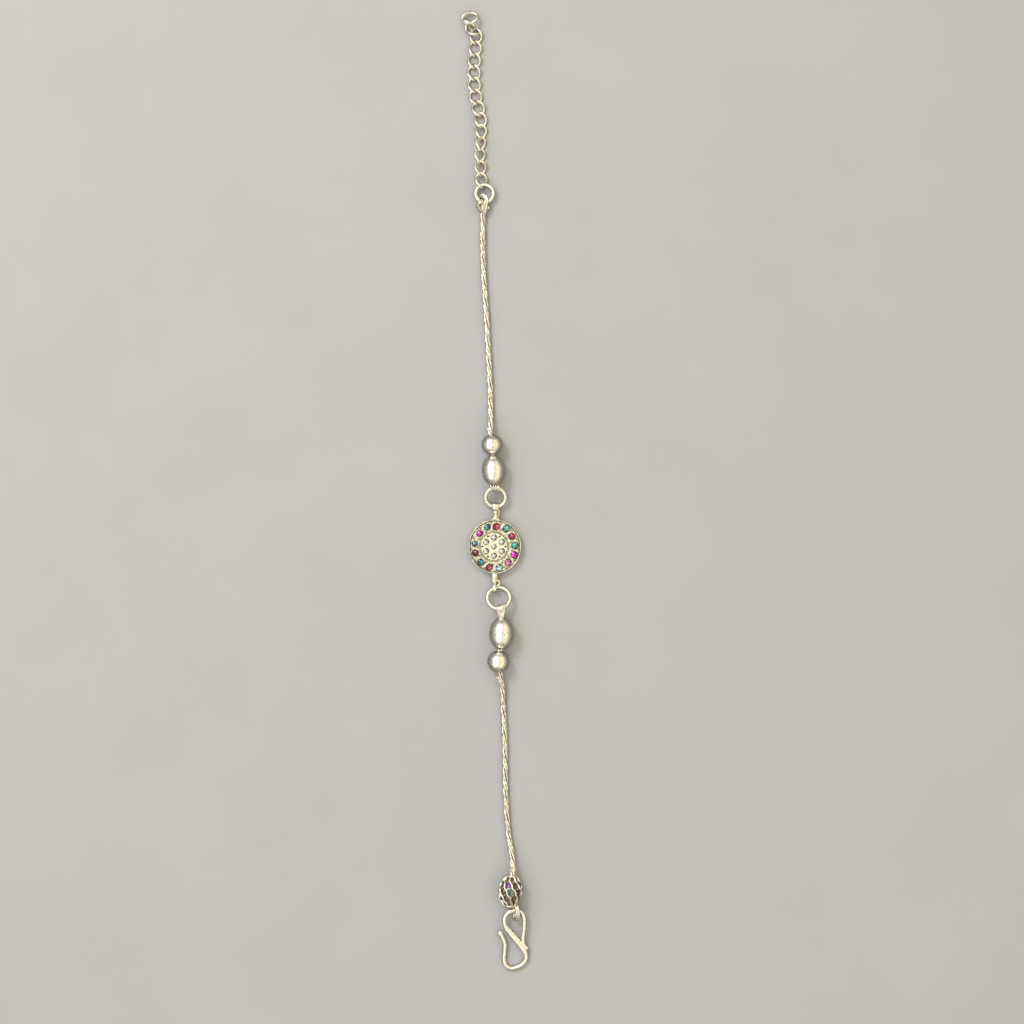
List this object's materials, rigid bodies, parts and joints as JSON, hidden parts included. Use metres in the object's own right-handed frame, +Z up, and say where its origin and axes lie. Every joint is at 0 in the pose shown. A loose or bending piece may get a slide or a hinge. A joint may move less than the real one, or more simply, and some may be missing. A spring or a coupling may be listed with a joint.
{
  "type": "cubic zirconia bracelet",
  "caption": "Silver chain bracelet with a round stone-set medallion, round and oval beads, a stone-set bead, an S-hook clasp and an extension chain, laid out straight.",
  "frame": {"origin": "centre of the medallion's flat back, on the surface that the bracelet lies on", "axes": "+Y along the bracelet towards the extension chain, +Z up out of the stones, +X to the right of +Y seen from above"},
  "size_m": [0.0152, 0.2152, 0.0056],
  "materials": {
    "silver_medallion": "polished silver, cast",
    "silver_bead": "mirror polished silver",
    "silver_chain": "bright cut twisted silver wire",
    "silver_wire": "polished drawn silver wire",
    "silver_extension": "polished silver, machine made",
    "silver_lattice": "polished silver with darkened recesses",
    "stone_clear": "faceted and polished",
    "stone_crimson": "faceted and polished",
    "stone_green": "faceted and polished",
    "stone_magenta": "faceted and polished",
    "stone_pink": "faceted and polished",
    "stone_aqua": "faceted and polished",
    "stone_teal": "faceted and polished",
    "stone_garnet": "faceted and polished",
    "stone_steel": "faceted and polished"
  },
  "bodies": {
    "root": {"medallion": "silver_medallion", "border_stone_01": "stone_crimson", "border_stone_02": "stone_green", "border_stone_03": "stone_crimson", "border_stone_04": "stone_green", "border_stone_05": "stone_magenta", "border_stone_06": "stone_pink", "border_stone_07": "stone_aqua", "border_stone_08": "stone_crimson", "border_stone_09": "stone_teal", "border_stone_10": "stone_garnet", "border_stone_11": "stone_steel", "border_stone_12": "stone_magenta", "border_stone_13": "stone_teal", "centre_stone_01": "stone_clear", "centre_stone_02": "stone_clear", "centre_stone_03": "stone_clear", "centre_stone_04": "stone_clear", "centre_stone_05": "stone_clear", "centre_stone_06": "stone_clear", "centre_stone_07": "stone_clear", "jump_ring_upper": "silver_wire", "oval_bead_upper": "silver_bead", "round_bead_upper": "silver_bead", "chain_upper": "silver_chain", "end_ring": "silver_extension", "extension_link_01": "silver_extension", "extension_link_02": "silver_extension", "extension_link_03": "silver_extension", "extension_link_04": "silver_extension", "extension_link_05": "silver_extension", "extension_link_06": "silver_extension", "extension_link_07": "silver_extension", "extension_link_08": "silver_extension", "extension_link_09": "silver_extension", "extension_link_10": "silver_extension", "extension_link_11": "silver_extension", "extension_link_12": "silver_extension", "extension_link_13": "silver_extension", "extension_link_14": "silver_extension", "extension_link_15": "silver_extension", "extension_link_16": "silver_extension", "jump_ring_lower": "silver_wire", "oval_bead_lower": "silver_bead", "round_bead_lower": "silver_bead", "chain_lower": "silver_chain", "stone_bead": "silver_lattice", "s_hook": "silver_wire"}
  },
  "joints": []
}
